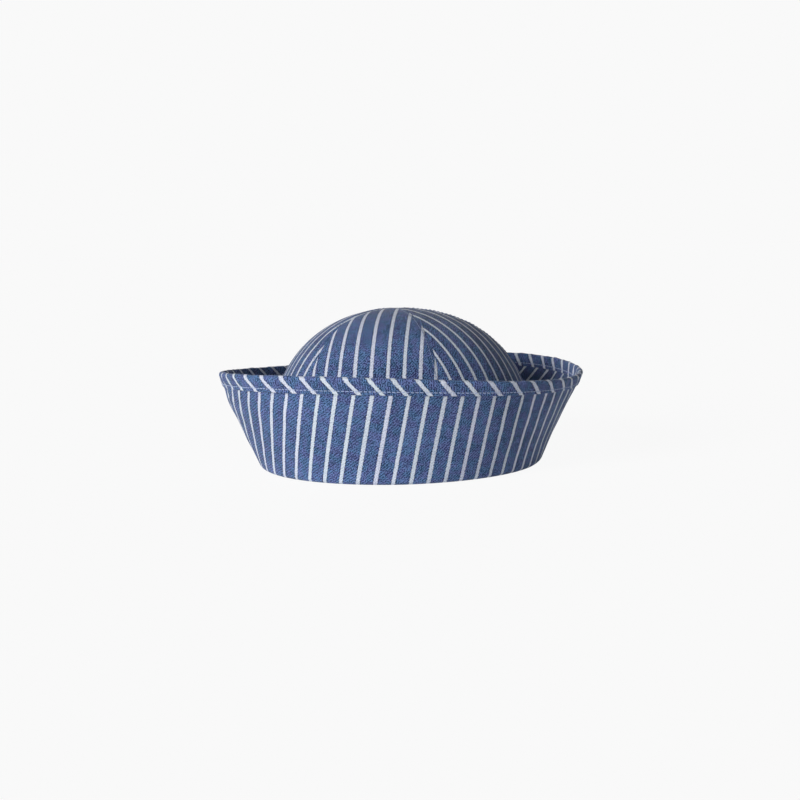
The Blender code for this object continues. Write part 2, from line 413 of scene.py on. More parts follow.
def striped_denim(name, seed, coarseness=1.0):
    """Yarn-dyed denim: a mottled blue warp with pale stripes, crossed by a pale weft in twill ribs.

    It reads the cloth attribute, which says where a point was on the flat cloth, in metres with
    the warp along Y, and the wear attribute, from 0 where the cloth is fresh to 1 where it is rubbed.
    Coarseness is how large the specks of yarn are, with 1 for the finest cloth."""
    sizes = cloth_sizes()
    finish = Finish(bpy.data.materials.new(name))
    across, along, _ = finish.parts(finish.attribute("cloth"))
    wear, _, _ = finish.parts(finish.attribute("wear"))
    u = across * MILLIMETRES
    v = along * MILLIMETRES

    # Which stripe this is, how far its middle is, and its ragged edge
    pitch = sizes.stripe_pitch * MILLIMETRES
    turn = u / pitch + 0.5
    stripe = turn.maths("FLOOR", turn)
    aside = abs(u - stripe * pitch)
    chance = finish.chance(stripe + seed)
    half_width = sizes.stripe_width * MILLIMETRES / 2 * (0.93 + chance * 0.14)
    ragged = finish.noise(u * 1.5, v * 1.2, detail=2.0, seed=seed) - 0.5
    from_edge = aside - half_width + ragged * 1.7
    pale_warp = finish.step(from_edge, 0.21, -0.21)

    # The weave: slanting ribs, broken up yarn by yarn
    rib_pitch = sizes.twill_pitch * MILLIMETRES
    slant = (v * math.cos(TWILL_RISE) - u * math.sin(TWILL_RISE)) * (2 * math.pi / rib_pitch)
    wobble = finish.noise(u * 0.45, v * 0.45, seed=seed + 3)
    ribs = slant.maths("SINE", slant + wobble * 5.0)
    breaks = finish.step(finish.noise(u * 0.8, v * 0.8, seed=seed + 5), 0.36, 0.62)
    specks = finish.noise(u * (1.35 / coarseness), v * (1.45 / coarseness), seed=seed + 17) - 0.5
    yarn = finish.noise(u * 1.3, v * 0.09, seed=seed + 7) - 0.5
    slub = finish.noise(u * 0.10, v * 1.1, seed=seed + 11) - 0.5
    patches = finish.noise(u * 0.24, v * 0.24, detail=2.0, seed=seed + 23) - 0.5
    drift = finish.noise(u * 0.04, v * 0.04, seed=seed + 29) - 0.5
    tint = finish.noise(u * 0.19, v * 0.17, detail=2.0, seed=seed + 31)
    weave = ribs * (0.10 + breaks * 0.42) + specks * 4.6

    # The blue: violet to teal patches, lighter where the pale weft shows, with painted shade in a thin dark
    # band beside each pale stripe
    shade = (
        weave + yarn * 0.45 + slub * 0.35 + patches * 0.95 + drift * 0.60 + 0.5
        # Painted shade: the blue is darker within about a millimetre of each pale stripe's edge
        - finish.step(from_edge, 1.10, 0.15) * 0.30 + wear * (0.20 + specks * 1.0))
    green = finish.step(tint, 0.38, 0.62)
    deep = finish.blend(
        green, tinted(sizes.blue, 0.28, 0.20, 0.30), tinted(sizes.blue, 0.12, 0.24, 0.24))
    light = finish.blend(
        green, tinted(sizes.blue, 2.50, 2.14, 1.96), tinted(sizes.blue, 1.96, 2.36, 1.94))
    blue_cloth = finish.blend(finish.step(shade, -0.20, 1.30), deep, light)

    # The pale stripes: a little blue weft and fluff between their yarns, and each one's own tint
    greyness = 0.34 - ribs * 0.20 - specks * 3.6 + (chance - 0.5) * 0.22 - patches * 0.4
    clean = finish.blend(
        finish.chance(stripe + seed + 0.5),
        tinted(sizes.pale, 1.02, 0.985, 1.03), tinted(sizes.pale, 0.975, 1.01, 0.97))
    stripe_cloth = finish.blend(
        finish.step(greyness, 0.0, 1.5), clean, tinted(sizes.pale, 0.45, 0.50, 0.62))
    colour = finish.blend(pale_warp * 0.97, blue_cloth, stripe_cloth)

    height = ribs * 0.22 + specks * 0.9 + yarn * 0.3 + slub * 0.2 + pale_warp * 0.30
    roughness = 0.84 + specks * 0.2
    return finish.surface(
        colour, roughness, height, 0.00022,
        **{"Sheen Weight": 0.12, "Sheen Roughness": 0.45, "Specular IOR Level": 0.20})


def spun_thread(name, thread):
    """Sewing thread: two plies that wind round each other. Its cloth attribute is (along, round) it."""
    finish = Finish(bpy.data.materials.new(name))
    along, around, number = finish.parts(finish.attribute("cloth"))
    twist = along * MILLIMETRES * (2 * math.pi / 0.9) + around
    plies = twist.maths("SINE", twist * 2.0) * 0.5 + 0.5
    fluff = finish.noise(along * 1500.0, around * 1.2, detail=2.0)
    shade = plies * 0.35 + fluff * 0.35 + finish.chance(number) * 0.3
    colour = finish.blend(shade, opaque(thread, 0.72), opaque(thread, 1.25))
    return finish.surface(
        colour, 0.62 + fluff * 0.2, plies, 0.00008, **{"Sheen Weight": 0.1, "Specular IOR Level": 0.35})


# Meshes


def closed_sheet(name, outer, inner, cloth, wear, material):
    """A closed piece of cloth from its outer and inner faces, which are grids of the same points.

    The first way of the grid runs along the sheet and the second across it; cloth holds each point's
    place on the flat cloth and wear how rubbed it is there."""
    rows, columns = outer.shape[:2]
    loop = 2 * columns
    points = np.concatenate([outer, inner[:, ::-1]], axis=1).reshape(-1, 3)
    laid = np.zeros((rows, loop, 3))
    laid[..., :2] = np.concatenate([cloth, cloth[:, ::-1]], axis=1)
    rubbed = np.concatenate([wear, wear[:, ::-1]], axis=1)
    at = np.arange(rows * loop).reshape(rows, loop)
    after = np.roll(at, -1, axis=1)
    sides = np.stack([at[:-1], after[:-1], after[1:], at[1:]], axis=-1).reshape(-1, 4)
    near = np.arange(columns - 1)
    far = loop - 1 - near
    start = np.stack([at[0, near], at[0, far], at[0, far - 1], at[0, near + 1]], axis=-1)
    finish = np.stack([at[-1, near], at[-1, near + 1], at[-1, far - 1], at[-1, far]], axis=-1)
    quads = np.concatenate([sides, start, finish])
    obj = mesh_object(name, points, quads, material)
    store(obj.data, "cloth", laid.reshape(-1, 3))
    store(obj.data, "wear", np.repeat(rubbed.reshape(-1, 1), 3, axis=1))
    return obj


def mesh_object(name, points, quads, material):
    mesh = bpy.data.meshes.new(name)
    mesh.vertices.add(len(points))
    mesh.vertices.foreach_set("co", np.ascontiguousarray(points, dtype=np.float32).ravel())
    mesh.loops.add(quads.size)
    mesh.loops.foreach_set("vertex_index", quads.astype(np.int32).ravel())
    mesh.polygons.add(len(quads))
    mesh.polygons.foreach_set("loop_start", np.arange(0, quads.size, 4, dtype=np.int32))
    mesh.update(calc_edges=True)
    if mesh.validate():
        raise RuntimeError(name + " has broken faces")
    mesh.shade_smooth()
    mesh.materials.append(material)
    obj = bpy.data.objects.new(name, mesh)
    bpy.context.scene.collection.objects.link(obj)
    return obj


def store(mesh, name, values):
    layer = mesh.attributes.new(name, "FLOAT_VECTOR", "POINT")
    layer.data.foreach_set("vector", np.ascontiguousarray(values, dtype=np.float32).ravel())


def face_outwards(obj):
    """Turns all faces over if the closed mesh is inside out."""
    mesh = obj.data
    count = len(mesh.polygons)
    points = np.empty(len(mesh.vertices) * 3)
    mesh.vertices.foreach_get("co", points)
    points = points.reshape(-1, 3)
    corners = np.empty(count * 4, dtype=np.int32)
    mesh.loops.foreach_get("vertex_index", corners)
    quad = points[corners.reshape(-1, 4)]
    volume = np.einsum("ij,ij->i", quad[:, 0], np.cross(quad[:, 1], quad[:, 2])).sum()
    volume += np.einsum("ij,ij->i", quad[:, 0], np.cross(quad[:, 2], quad[:, 3])).sum()
    if volume < 0:
        mesh.flip_normals()


def travel_along(points):
    return np.concatenate([[0], np.cumsum(np.linalg.norm(np.diff(points, axis=0), axis=1))])


def line_at(stops, travel, points):
    """A line's points where it has gone these distances."""
    return np.stack([np.interp(stops, travel, column) for column in points.T], axis=-1)


def evenly(points, gap):
    """The points of a line, spaced evenly by about this gap, both ends included."""
    travel = travel_along(points)
    return line_at(np.linspace(0, travel[-1], max(2, round(travel[-1] / gap) + 1)), travel, points)


def crowded(length, gap, edges):
    """Distances from 0 to length, spaced by gap, with the given distances added at both ends."""
    inner = np.linspace(edges[-1], length - edges[-1], max(2, round((length - 2 * edges[-1]) / gap) + 1))
    edges = np.asarray(edges)
    return np.concatenate([edges[:-1], inner, (length - edges[:-1])[::-1]])


def round_edge(distance, radius):
    """The share of a cloth's thickness at a distance in from its rounded edge."""
    return np.sqrt(1 - np.clip(1 - distance / radius, 0, 1) ** 2)


def bell(distance, width):
    """1 at no distance, fading smoothly to 0 beyond about twice the width."""
    return np.exp(-((distance / width) ** 2))


def rise_between(value, low, high):
    """0 below low and 1 above high, smooth between them."""
    share = np.clip((value - low) / (high - low), 0, 1)
    return share * share * (3 - 2 * share)


def mark_at(distance, mark):
    """How strong a mark is at a distance from its middle."""
    return mark.strength * bell(distance, mark.width)


def welt_at(distance, welt):
    """How high a welt stands at a distance from its seam."""
    near = rise_between(distance, welt.start, welt.full)
    return welt.height * near * (1 - rise_between(distance, welt.fall, welt.end))


def wander(around, up, swell, seed):
    """Soft relief from waves that the seed lays out, of about the swell's height either way."""
    chance = np.random.default_rng(seed)
    total = 0.0
    for share in (1.0, 1.0, 0.8, 0.8, 0.6, 0.6):
        waves = round(swell.crests * chance.uniform(0.55, 1.45))
        tilt = chance.uniform(-1.3, 1.3) * 2 * math.pi / swell.length
        total = total + share * np.sin(waves * around + tilt * up + chance.uniform(0, 2 * math.pi))
    return swell.height * (total / 2.6)


def smooth_table(value, places, heights):
    """A smooth line through a short table."""
    places, heights = np.asarray(places), np.asarray(heights)
    slopes = np.gradient(heights, places)
    i = np.clip(np.searchsorted(places, value, side="right") - 1, 0, len(places) - 2)
    span = places[i + 1] - places[i]
    t = np.clip((value - places[i]) / span, 0, 1)
    return (
        (2 * t**3 - 3 * t**2 + 1) * heights[i] + (t**3 - 2 * t**2 + t) * span * slopes[i]
        + (3 * t**2 - 2 * t**3) * heights[i + 1] + (t**3 - t**2) * span * slopes[i + 1])


# The brim's form, by the same rules as the solids


def flare_line():
    foot = np.array([LEG_RADIUS + FOLD_SPREAD, 0.0])
    end = np.array([RIM_WIDTH / 2 - BINDING_REACH, BRIM_TALL - BINDING_REACH])
    return foot, end


def flare_slope():
    foot, end = flare_line()
    return (end[0] - foot[0]) / (end[1] - foot[1])


def fold_radius():
    slope = flare_slope()
    spread = FOLD_SPREAD - FOLD_FLAT + slope * BRIM_CLOTH / 2
    return spread / (math.hypot(1, slope) + 1 - slope)


def fold_top():
    return BRIM_CLOTH / 2 + fold_radius()


def arc(centre, radius, start, end, steps=12):
    turns = np.linspace(start, end, steps + 1)
    return np.asarray(centre) + radius * np.stack([np.cos(turns), np.sin(turns)], axis=-1)


def brim_line():
    """The middle of the brim's cloth from its hem, round the fold, up to its end under the binding."""
    foot, end = flare_line()
    radius = fold_radius()
    inner_centre = np.array([LEG_RADIUS + radius, fold_top()])
    outer_centre = inner_centre + [FOLD_FLAT, 0.0]
    hem = np.array([[LEG_RADIUS, fold_top() + HEM_LIFT + HEM_LAP]])
    down = arc(inner_centre, radius, math.pi, 1.5 * math.pi)
    up = arc(outer_centre, radius, -0.5 * math.pi, -math.atan(flare_slope()))
    return np.concatenate([hem, down, up, end[None]])


def rim_rise(azimuth):
    shares = sum(
        wave.forward_share * np.cos(wave.crests * azimuth)
        + wave.sideways_share * np.sin(wave.crests * azimuth)
        for wave in RIM_WAVES)
    return BRIM_TALL * shares


def side_bulge(azimuth, height):
    share = np.clip(height / BRIM_TALL, 0, 1)
    places = [row.height_share for row in BRIM_SECTIONS]
    left = smooth_table(share, places, [row.left_share for row in BRIM_SECTIONS])
    right = smooth_table(share, places, [row.right_share for row in BRIM_SECTIONS])
    return BRIM_TALL * np.where(np.sin(azimuth) > 0, left, right) * np.abs(np.sin(azimuth))


def on_head_shape(azimuth, radius, height):
    """Points of a round band, drawn into the cap's oval, with its side bulged and its rim waved."""
    azimuth, radius, height = np.broadcast_arrays(azimuth, radius, height)
    freedom = np.clip((radius - LEG_RADIUS) / FOLD_SPREAD, 0, 1)
    wide = radius + side_bulge(azimuth, height) * freedom
    rise = rim_rise(azimuth) * (height / BRIM_TALL) ** 2
    return np.stack([wide * np.sin(azimuth), -wide * np.cos(azimuth) * OVAL, height + rise], axis=-1)


def line_normals(points):
    """Unit normals of a line in the (radius, height) plane, on the right of its direction."""
    way = np.gradient(points, axis=0)
    way /= np.linalg.norm(way, axis=1, keepdims=True)
    return np.stack([way[:, 1], -way[:, 0]], axis=-1)


def brim_pattern(azimuth, slant):
    """Where a point of the brim lay on the flat cloth; slant is its distance up from floor level."""
    reach = (LEG_RADIUS + FOLD_SPREAD) / BRIM_CONE_SINE + slant
    turn = azimuth * BRIM_CONE_SINE
    x = reach * np.sin(turn)
    y = reach * np.cos(turn) - (LEG_RADIUS + FOLD_SPREAD) / BRIM_CONE_SINE
    lean = BRIM_GRAIN_LEAN
    u = x * math.cos(lean) - y * math.sin(lean) - BRIM_STRIPE_NUDGE
    v = x * math.sin(lean) + y * math.cos(lean)
    return np.stack([u, v], axis=-1)


def brim_cut(slants):
    """The brim's band laid flat: part of a ring, between these distances up from floor level."""
    inner, outer = ((LEG_RADIUS + FOLD_SPREAD) / BRIM_CONE_SINE + slant for slant in slants)
    half_turn = math.pi * BRIM_CONE_SINE
    width = 2 * outer * math.sin(half_turn)
    return Cut(width, outer - inner * math.cos(half_turn), half_turn * (outer**2 - inner**2))


def round_the_cap(join, radius, steps):
    """Azimuths from a join round to it again, with the gap between its ends, and closer near it."""
    gap_angle = JOIN_GAP / radius
    ends = np.radians([0.0, 0.04, 0.1, 0.2, 0.35, 0.55, 0.8])
    return join + gap_angle / 2 + crowded(2 * math.pi - gap_angle, 2 * math.pi / steps, ends)


def join_distance(azimuth, join, radius):
    """How far along the cloth a place is from its band's join."""
    return np.minimum(np.abs(azimuth - join), np.abs(azimuth - join - 2 * math.pi)) * radius


def make_brim():
    line = evenly(brim_line(), BRIM_STEP)
    travel = travel_along(line)
    bottom = travel[np.argmin(line[:, 1])]
    # Closer rows at both edges, where the cloth is rounded
    stops = crowded(travel[-1], BRIM_STEP, [0.0, 0.00008, 0.0002, BRIM_EDGE_ROUNDING])
    line = line_at(stops, travel, line)
    normals = line_normals(line)
    azimuth = round_the_cap(BRIM_JOIN, BRIM_JOIN_RADIUS, BRIM_STEPS_AROUND)[:, None]
    slant = stops - bottom - fold_radius() * 0.5
    outside = line[:, 0] > LEG_RADIUS + FOLD_SPREAD / 2
    flared = rise_between(line[:, 1], 0.004, 0.020) * outside

    from_join = join_distance(azimuth, BRIM_JOIN, BRIM_JOIN_RADIUS)
    soft = wander(azimuth, slant, BRIM_SWELL, 11) + wander(azimuth, slant, BRIM_RIPPLE, 12)
    under_tape = rise_between(slant, 0.030, 0.056)
    puckers = wander(azimuth, 0.0, BRIM_PUCKERS, 13) * under_tape
    # The join's allowance is pressed to one side
    welt = welt_at(from_join, BRIM_WELT) * (azimuth > BRIM_JOIN + math.pi)
    shift = (soft + puckers + welt) * flared - mark_at(from_join, BRIM_JOIN_DENT)
    thick = BRIM_CLOTH / 2 * round_edge(np.minimum(stops, travel[-1] - stops), BRIM_EDGE_ROUNDING)
    thick = thick * round_edge(from_join, JOIN_ROUNDING)

    def face(offset):
        middle = line[None] + normals[None] * (shift + offset)[..., None]
        return on_head_shape(azimuth, middle[..., 0], middle[..., 1])

    cloth = brim_pattern(azimuth, slant[None])
    wear = mark_at(line[:, 1], BRIM_FOLD_WEAR) * outside + mark_at(from_join, BRIM_JOIN_WEAR)
    denim = striped_denim("brim_denim", 5.0)
    obj = closed_sheet("brim_cloth", face(thick), face(-thick), cloth, wear, denim)
    face_outwards(obj)
    return obj, brim_cut((slant[0], slant[-1]))


def binding_stations():
    """Across the tape, from its outer edge over the rim to its inner edge: where the middle of the
    brim's edge is nearest (as points and directions away from it), and the distance across."""
    foot, end = flare_line()
    upward = (end - foot) / np.linalg.norm(end - foot)
    outward = np.array([upward[1], -upward[0]])
    outer_leg = BINDING_DEPTH_OUTSIDE - BINDING_REACH
    inner_leg = BINDING_DEPTH_INSIDE - BINDING_REACH
    edge = [0.0, 0.00005, 0.00014, 0.0003, TAPE_EDGE_ROUNDING]
    outer = np.concatenate([edge, np.arange(0.0011, outer_leg, 0.0006)])
    inner = np.concatenate([edge, np.arange(0.0011, inner_leg, 0.0006)])[::-1]
    turns = np.linspace(0, math.pi, 13)
    middles = np.concatenate([
        end - upward * (outer_leg - outer)[:, None],
        np.repeat(end[None], len(turns), axis=0),
        end - upward * (inner_leg - inner)[:, None]])
    away = np.concatenate([
        np.repeat(outward[None], len(outer), axis=0),
        outward * np.cos(turns)[:, None] + upward * np.sin(turns)[:, None],
        np.repeat(-outward[None], len(inner), axis=0)])
    roll = BINDING_OFFSET * turns
    across = np.concatenate([outer, outer_leg + roll, outer_leg + roll[-1] + inner_leg - inner])
    return middles, away, across


def binding_height(azimuth, across, width):
    """How far the tape's face stands off the middle of the brim's cloth."""
    sewing = sewing_sizes()
    from_edge = np.minimum(across, width - across)
    inside = across > width / 2
    along = azimuth * RIM_WIDTH / 2
    needle = 0.5 + 0.5 * np.cos(2 * math.pi * along / sewing.stitch_pitch)
    row = mark_at(from_edge - sewing.binding_inset, BINDING_ROW_DENT) * (1 - NEEDLE_SHARE * (1 - needle))
    fold = mark_at(from_edge - 0.0008, BINDING_FOLD_DENT)
    gathers = wander(azimuth, 0.0, TAPE_GATHERS, 21) + wander(azimuth, 0.0, TAPE_FINE_GATHERS, 22)
    gathers = gathers * rise_between(from_edge, 0.0, 0.0045) * np.where(inside, 0.8, 1.0)
    slack = wander(azimuth, across, TAPE_SLACK, 23) * rise_between(from_edge, 0.002, 0.006)
    return BINDING_REACH - TAPE_PRESSED - row - fold + gathers + slack


def binding_point(azimuth, across, extra):
    """A point on the tape's face, or extra above it."""
    middles, away, stations = binding_stations()
    centre = [np.interp(across, stations, middles[:, k]) for k in range(2)]
    out = [np.interp(across, stations, away[:, k]) for k in range(2)]
    height = binding_height(azimuth, across, stations[-1]) + extra
    return on_head_shape(azimuth, centre[0] + out[0] * height, centre[1] + out[1] * height)


def rim_travel(azimuth):
    """The distance along the rim from the front, which the tape's own length follows."""
    fine = np.linspace(-2 * math.pi, 2 * math.pi, 2881)
    _, end = flare_line()
    points = on_head_shape(fine, end[0], end[1])
    travel = travel_along(points)
    travel -= np.interp(0.0, fine, travel)
    return np.interp(azimuth, fine, travel)


def tape_travel(azimuth):
    """The distance along the tape itself, from the front, before it was pulled longer."""
    travel = rim_travel(azimuth)
    pulled = sum(
        pull.side * pull.length * rise_between(pull.side * travel, pull.start, pull.end)
        for pull in TAPE_PULLS)
    return travel - pulled


def make_binding():
    middles, away, across = binding_stations()
    azimuth = round_the_cap(BINDING_JOIN, BINDING_JOIN_RADIUS, BINDING_STEPS_AROUND)[:, None]
    from_join = join_distance(azimuth, BINDING_JOIN, BINDING_JOIN_RADIUS)
    width = across[-1]
    touch = BRIM_CLOTH / 2 + TAPE_ROOM
    height = binding_height(azimuth, across, width) - mark_at(from_join, BINDING_JOIN_DENT)
    from_edge = np.minimum(across, width - across)
    share = round_edge(from_edge, TAPE_EDGE_ROUNDING) * round_edge(from_join, JOIN_ROUNDING)
    middle_height = (height + touch) / 2
    half = (height - touch) / 2 * share

    def face(off):
        spot = middles[None] + away[None] * off[..., None]
        return on_head_shape(azimuth, spot[..., 0], spot[..., 1])

    along = tape_travel(azimuth)
    inwards = across - (BINDING_DEPTH_OUTSIDE - BINDING_REACH + BINDING_OFFSET * math.pi / 2)
    lean = BINDING_GRAIN_LEAN
    u = along * math.cos(lean) + inwards * math.sin(lean) - BINDING_STRIPE_NUDGE
    v = inwards * math.cos(lean) - along * math.sin(lean)
    wear = mark_at(inwards, BINDING_TOP_WEAR) + mark_at(from_edge, BINDING_EDGE_WEAR) + 0 * azimuth
    obj = closed_sheet(
        "rim_binding_tape", face(middle_height + half), face(middle_height - half),
        np.stack([u, v], axis=-1), wear, striped_denim("binding_denim", 41.0))
    face_outwards(obj)
    length = float(rim_travel(2 * math.pi))
    return obj, Cut(width, length, width * length)


# The crown's form


def crown_line():
    """The crown's outer outline (radius, height), from its lower edge to its top."""
    low = fold_top() + HEM_LIFT
    turns = np.linspace(0, math.pi / 2 * 0.9999, 400)
    radius = CROWN_RADIUS * np.cos(turns) ** (2 / CROWN_FULLNESS)
    share = np.clip(1 - (radius / CROWN_RADIUS) ** CROWN_FULLNESS, 0, 1) ** (1 / CROWN_FULLNESS)
    height = CROWN_SIDE_TALL + (CROWN_TALL - CROWN_SIDE_TALL) * share
    dome = np.stack([radius, height], axis=-1)
    return np.concatenate([[[CROWN_RADIUS, low]], dome])


def gore_seams(gore, radius):
    """The azimuths where a gore starts and ends, in radians, where the crown has this radius."""
    following = GORES[(GORES.index(gore) + 1) % len(GORES)]
    narrowing = 1 - radius / CROWN_RADIUS
    start = gore.seam_azimuth + gore.seam_twist * narrowing
    end = following.seam_azimuth + following.seam_twist * narrowing
    if following.seam_azimuth < gore.seam_azimuth:
        end = end + 360.0
    return np.radians(start), np.radians(end)


def gore_relief(gore, share, radius, travel, azimuth):
    """How far a gore's outer face stands off the plain dome: it rolls in at its seams, is raised over
    the seam allowance that is pressed under its far edge, and ripples along the stitches."""
    start, end = gore_seams(gore, radius)
    sewing = sewing_sizes()
    width_share = radius / CROWN_RADIUS
    dome_turn = np.arccos(np.clip(width_share ** (CROWN_FULLNESS / 2), 0, 1))
    dome_share = np.clip(2 / math.pi * dome_turn, 0, 1)
    draw = -SEAM_DRAW * np.abs(2 * share - 1) ** SEAM_DRAW_POWER
    draw = draw * width_share * np.sin(math.pi * dome_share)
    near = share * (end - start) * radius
    far = (1 - share) * (end - start) * radius
    nearer = np.minimum(near, far)
    room = rise_between(radius, 0.002, 0.014)
    welt = welt_at(far, GORE_WELT)
    dents = mark_at(nearer, GORE_SEAM_DENT) + mark_at(far - sewing.gore_inset, GORE_ROW_DENT)
    number = GORES.index(gore)

    def ripples(distance, seed):
        waves = wander(travel / SEAM_PUCKER_RADIAN, 0.0, SEAM_PUCKERS, seed)
        return waves * np.exp(-distance / SEAM_PUCKER_REACH)

    beside_seams = ripples(near, 31 + number) + ripples(far, 32 + (number + 1) % len(GORES))
    puckers = beside_seams * rise_between(nearer, 0.0006, 0.003)
    soft = wander(azimuth, travel, CROWN_SWELL, 51) + wander(azimuth, travel, CROWN_RIPPLE, 52)
    return draw + (welt + puckers - dents) * room + soft * width_share


def gore_point(gore, share, radius, height, way_out, travel, extra):
    """Points on a gore's outer face; share runs from its own seam (0) to the next (1)."""
    start, end = gore_seams(gore, radius)
    inset = np.minimum(SEAM_ROOM / radius, 0.02)
    azimuth = start + inset + (end - start - 2 * inset) * share
    off = gore_relief(gore, share, radius, travel, azimuth) + extra
    out = radius + way_out[..., 0] * off
    x = CROWN_LEAN * (1 - radius / CROWN_RADIUS) + out * np.sin(azimuth)
    return azimuth, np.stack([x, -out * np.cos(azimuth) * OVAL, height + way_out[..., 1] * off], axis=-1)


def crown_rows():
    """Even rows up the crown's outline: radius, height, outward direction and distance up."""
    line = crown_line()
    travel = travel_along(line)
    # Closer rows at the lower edge alone; the last row is the tip itself
    stops = crowded(travel[-1], CROWN_STEP, [0.0, 0.0001, 0.0003, 0.0006])[:-3]
    rows = line_at(stops, travel, line)
    rows[-1] = line[-1]
    way_out = line_normals(rows)
    way_out[-1] = (0.0, 1.0)
    return np.maximum(rows[:, 0], 0.00006), rows[:, 1], way_out, stops


def make_gore(gore):
    radius, height, way_out, stops = crown_rows()
    # Closer lines of points beside the seams, where the cloth rolls in
    edges = [0.0, 0.0001, 0.00025, 0.0005, 0.0008, 0.0012, 0.0016, 0.0021, 0.0028]
    start, end = gore_seams(gore, CROWN_RADIUS)
    widest = (end - start) * CROWN_RADIUS
    share = (crowded(widest, CROWN_STEP, edges) / widest)[None]
    radius, height, travel = radius[:, None], height[:, None], stops[:, None]
    start, end = gore_seams(gore, radius)
    out = way_out[:, None]
    nearer = np.minimum(share, 1 - share) * (end - start) * radius
    far = (1 - share) * (end - start) * radius
    rounded = round_edge(nearer, np.minimum(GORE_EDGE_ROUNDING, radius * 0.3)) * round_edge(travel, 0.0006)
    allowance = GORE_ALLOWANCE * (1 - rise_between(far, 0.0065, 0.0072))
    allowance = allowance * rise_between(radius, 0.004, 0.012) * rise_between(travel, 0.0, 0.002)
    outer_off = -CROWN_CLOTH / 2 * (1 - rounded)
    inner_off = -CROWN_CLOTH / 2 * (1 + rounded) - allowance * rounded
    azimuth, outer = gore_point(gore, share, radius, height, out, travel, outer_off)
    _, inner = gore_point(gore, share, radius, height, out, travel, inner_off)
    aside = radius * (azimuth - math.radians(gore.grain_azimuth)) - gore.nudge
    cloth = np.stack([aside * gore.take_up + aside**2 * gore.crowding, travel + 0 * share], axis=-1)
    wear = mark_at(nearer - 0.0006, GORE_SEAM_WEAR) * rise_between(radius, 0.004, 0.02)
    denim = striped_denim(gore.node + "_denim", 60.0 + 7 * GORES.index(gore), CROWN_COARSENESS)
    obj = closed_sheet(gore.node + "_cloth", outer, inner, cloth, wear, denim)
    face_outwards(obj)
    widths = ((end - start) * radius)[:, 0]
    area = float(np.sum((widths[1:] + widths[:-1]) / 2 * np.diff(stops)))
    return obj, Cut(widest, stops[-1], area)


# Stitches


def add_stitches(name, rows, material):
    """Stitches along rows, each a line of points with the direction that its thread stands out in."""
    sewing = sewing_sizes()
    around, stations = 8, 7
    points, laid = [], []
    number = 0
    for path, lift in rows:
        travel = travel_along(path)
        count = int(travel[-1] / sewing.stitch_pitch)
        first = (travel[-1] - count * sewing.stitch_pitch) / 2
        for k in range(count):
            middle = first + (k + 0.5) * sewing.stitch_pitch
            share = np.linspace(-1, 1, stations)
            stops = middle + share * sewing.stitch_length / 2
            spine = line_at(stops, travel, path)
            out = line_at(stops, travel, lift)
            out /= np.linalg.norm(out, axis=1, keepdims=True)
            way = np.gradient(spine, axis=0)
            side = np.cross(way, out)
            side /= np.linalg.norm(side, axis=1, keepdims=True)
            bow = sewing.thread_width * (0.42 - 0.75 * share**4)
            spine = spine + out * bow[:, None]
            thick = sewing.thread_width / 2 * np.sqrt(np.clip(1 - share**6 * 0.9, 0, 1))
            turn = np.arange(around) * 2 * math.pi / around
            ring = out[:, None] * np.cos(turn)[None, :, None] + side[:, None] * np.sin(turn)[None, :, None]
            points.append(spine[:, None] + ring * thick[:, None, None])
            laid.append(np.stack(np.broadcast_arrays(stops[:, None], turn[None], float(number)), axis=-1))
            number += 1
    points, laid = np.array(points), np.array(laid)
    count = len(points)
    at = np.arange(count * stations * around).reshape(count, stations, around)
    after = np.roll(at, -1, axis=2)
    tube = np.stack([at[:, :-1], after[:, :-1], after[:, 1:], at[:, 1:]], axis=-1).reshape(-1, 4)
    # Three quads close the ring of eight points at each end
    caps = []
    for ring in (at[:, 0], at[:, -1, ::-1]):
        for a, b, c, d in ((0, 1, 2, 3), (0, 3, 4, 7), (7, 4, 5, 6)):
            caps.append(ring[:, [d, c, b, a]])
    quads = np.concatenate([tube, *caps])
    obj = mesh_object(name, points.reshape(-1, 3), quads, material)
    store(obj.data, "cloth", laid.reshape(-1, 3))
    face_outwards(obj)
    return obj


def binding_row(inset, inside):
    """A row round the binding, this far in from its outer or inner edge."""
    _, _, stations = binding_stations()
    across = stations[-1] - inset if inside else inset
    azimuth = np.linspace(0, 2 * math.pi, 1441) + BINDING_JOIN
    path = binding_point(azimuth, across, 0.0)
    lifted = binding_point(azimuth, across, 0.001)
    lift = lifted - path
    return path, lift / np.linalg.norm(lift, axis=1, keepdims=True)


def gore_row(gore):
    """A row up a gore, beside its seam with the next one."""
    radius, height, way_out, stops = crown_rows()
    # The row ends short of the tip and of the lower edge
    keep = (radius > 0.010) & (stops > 0.004)
    radius, height, way_out, stops = radius[keep], height[keep], way_out[keep], stops[keep]
    start, end = gore_seams(gore, radius)
    share = 1 - sewing_sizes().gore_inset / ((end - start) * radius)
    _, path = gore_point(gore, share, radius, height, way_out, stops, 0.0)
    _, lifted = gore_point(gore, share, radius, height, way_out, stops, 0.001)
    lift = lifted - path
    return path, lift / np.linalg.norm(lift, axis=1, keepdims=True)


# The stage


def floor_finish(glow, paper):
    """Plain pale paper, which looks as bright as the backdrop, so that the cap's shadow stays faint."""
    finish = Finish(bpy.data.materials.new("pale_paper"))
    spot = finish.add("ShaderNodeTexCoord", output="Object")
    fibres = finish.add("ShaderNodeTexNoise", inputs={"Vector": spot, "Scale": 900.0, "Detail": 2.0})
    colour = finish.blend(fibres, opaque((0.84, 0.84, 0.84)), opaque((0.86, 0.86, 0.86)))
    lit = finish.add("ShaderNodeBsdfPrincipled", inputs={
        "Base Color": colour, "Roughness": 0.95, "Specular IOR Level": 0.0,
        "Emission Color": WHITE, "Emission Strength": glow})
    bright = finish.add("ShaderNodeEmission", inputs={"Color": WHITE, "Strength": paper})
    seen = finish.add("ShaderNodeLightPath", output="Is Camera Ray")
    return finish.ended(finish.add("ShaderNodeMixShader", inputs={0: seen * 0.95, 1: lit, 2: bright}))


